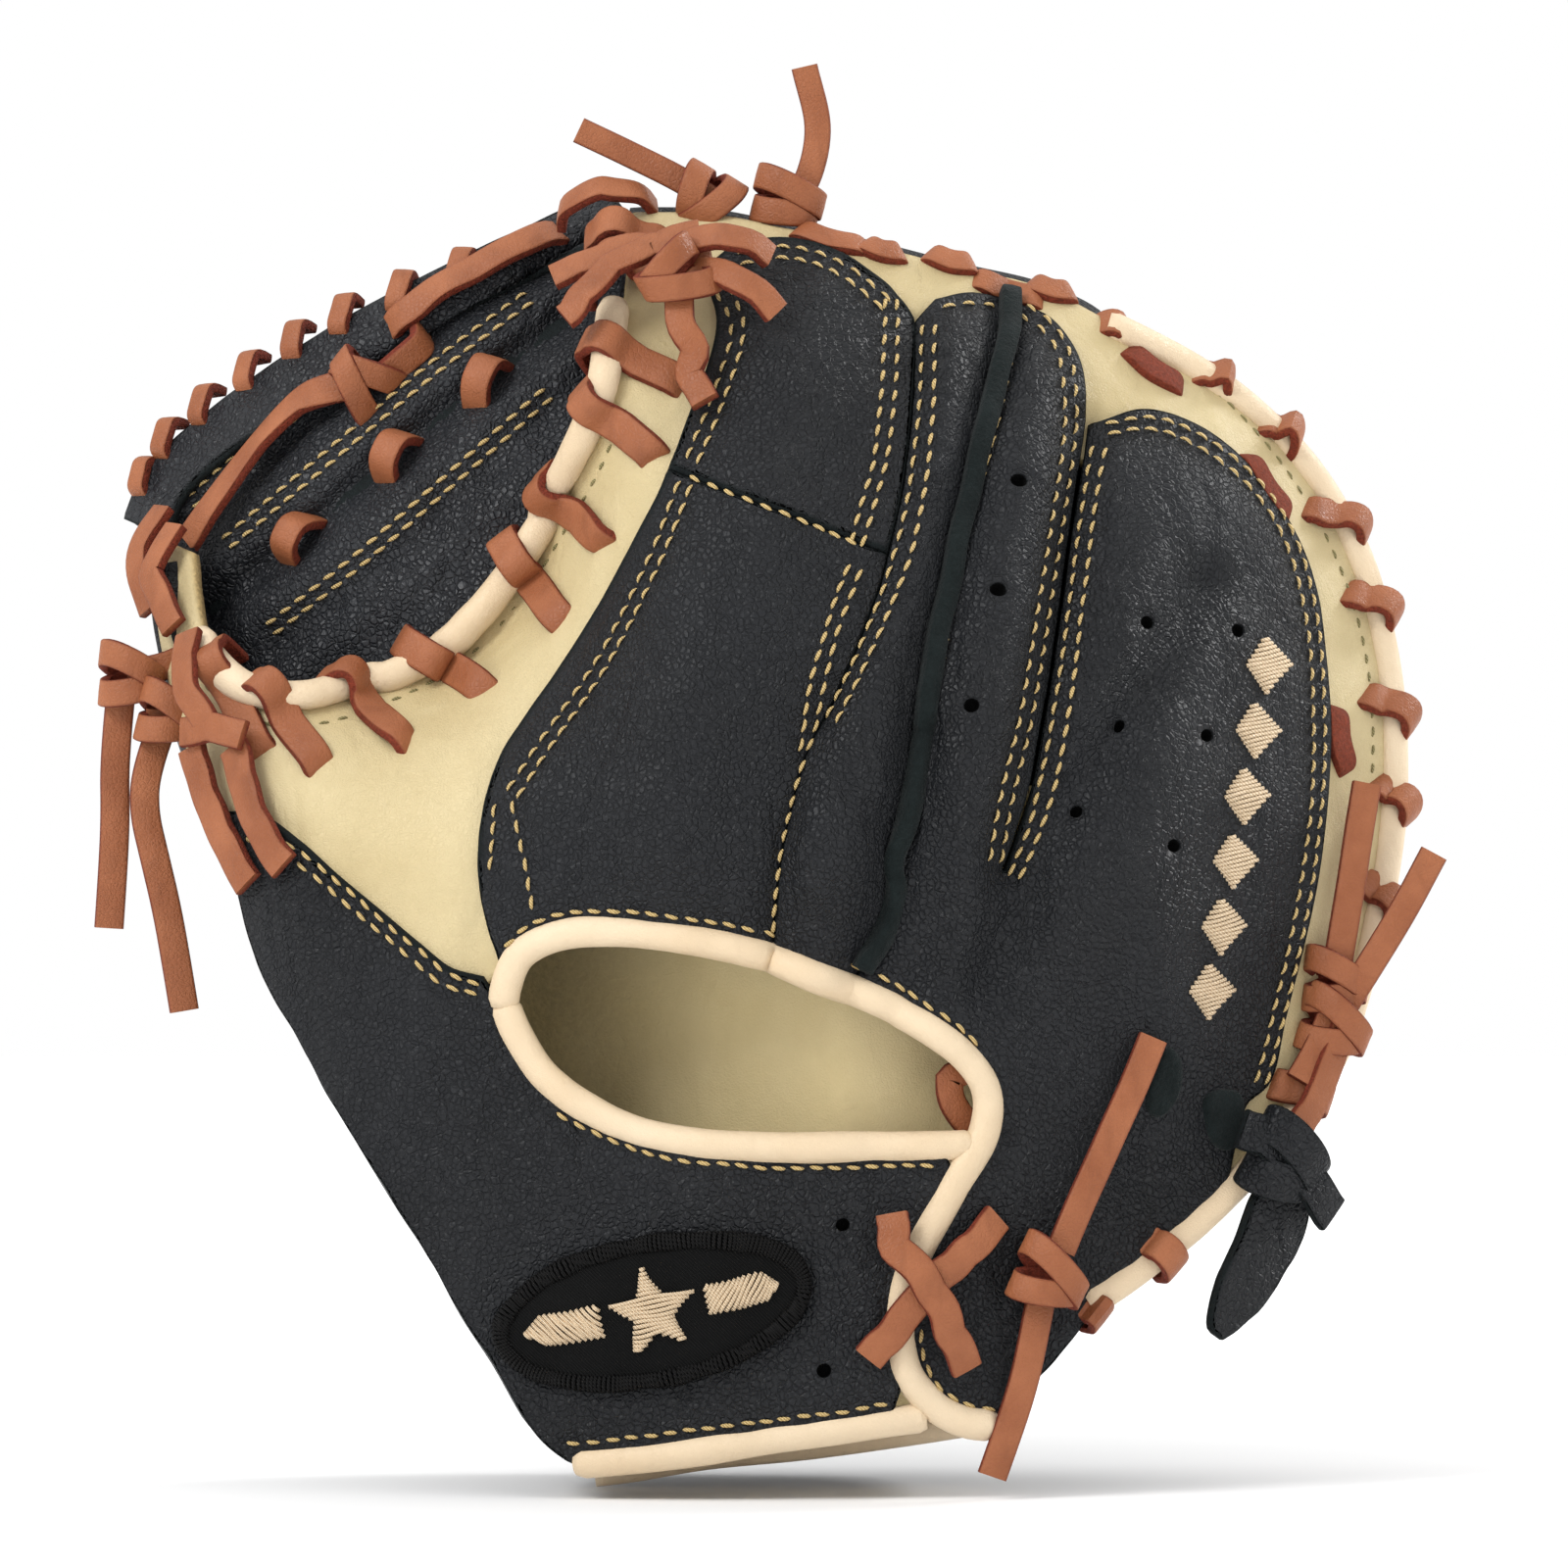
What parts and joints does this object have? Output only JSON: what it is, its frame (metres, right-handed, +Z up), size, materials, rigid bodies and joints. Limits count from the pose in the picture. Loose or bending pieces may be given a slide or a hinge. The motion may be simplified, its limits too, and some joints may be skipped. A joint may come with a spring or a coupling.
{
  "type": "baseball catcher's mitt",
  "caption": "Padded catcher's mitt with a closed laced web, khaki rim, cream bindings and rawhide lacing, worn on the right hand.",
  "frame": {"origin": "middle of the wrist opening, level with the heel's lowest edge", "axes": "+Z up to the fingertips, +X to the little finger, +Y out of the palm into the pocket"},
  "size_m": [0.2652, 0.1099, 0.2761],
  "materials": {
    "black_leather": "pebbled, semi-matte",
    "khaki_leather": "smooth, satin",
    "lining_leather": "smooth, matte",
    "cream_binding": "smooth, satin",
    "tan_rawhide": "waxed, satin",
    "raw_suede": "fibrous, matte",
    "cream_thread": "twisted thread",
    "wool_felt": "dense felt"
  },
  "bodies": {
    "finger_half": {"adjuster_thong": "black_leather", "back_lining": "lining_leather", "crotch_binding_index": "cream_binding", "crotch_lace_index": "tan_rawhide", "embroidered_mark": "cream_thread", "finger_knots": "tan_rawhide", "finger_stall_linings": "lining_leather", "finger_welt": "raw_suede", "fingertip_lace": "tan_rawhide", "hand_back_panel": "black_leather", "heel_pad": "wool_felt", "index_crotch_leather": "khaki_leather", "index_tip_panel": "black_leather", "lace_ends": "tan_rawhide", "little_finger_loop": "tan_rawhide", "middle_finger_panel": "black_leather", "opening_lower_binding": "cream_binding", "opening_upper_binding": "cream_binding", "outer_back_panel": "black_leather", "palm_leather": "black_leather", "palm_lining": "lining_leather", "palm_pad": "wool_felt", "rim_back_leather": "khaki_leather", "rim_binding": "cream_binding", "rim_lace": "tan_rawhide", "strap_binding": "cream_binding", "strap_cross_lace": "tan_rawhide", "strap_patch": "black_leather", "tail_heel_down": "tan_rawhide", "tail_heel_up": "tan_rawhide", "tail_rim": "tan_rawhide", "wrist_roll": "lining_leather", "wrist_strap": "black_leather"},
    "thumb_half": {"thumb_back_panel": "black_leather", "thumb_crotch_leather": "khaki_leather", "crotch_binding_thumb": "cream_binding", "crotch_lace_thumb": "tan_rawhide", "thumb_knots": "tan_rawhide", "thumb_lace_ends": "tan_rawhide", "thumb_pad": "wool_felt", "thumb_palm_leather": "black_leather", "thumb_stall_lining": "lining_leather", "tail_thumb_outer": "tan_rawhide", "tail_thumb_inner": "tan_rawhide"},
    "web": {"web_back_panel": "black_leather", "web_front_panel": "black_leather", "web_top_strap": "black_leather", "web_edge_lace": "tan_rawhide", "web_cross_lace": "tan_rawhide", "web_loops": "tan_rawhide"}
  },
  "joints": [
    {"name": "pocket_close", "type": "hinge", "parent": "finger_half", "child": "thumb_half", "pos_m": [-0.036, 0.034, 0.004], "axis": [0.2043, 0, -0.9789], "range_deg": [0, 30]},
    {"name": "web_fold", "type": "hinge", "parent": "finger_half", "child": "web", "pos_m": [-0.036, 0.034, 0.004], "axis": [0.2043, 0, -0.9789], "range_deg": [0, 15]}
  ],
  "couplings": [
    {"joint": "web_fold", "follows": "pocket_close", "ratio": 0.5}
  ]
}
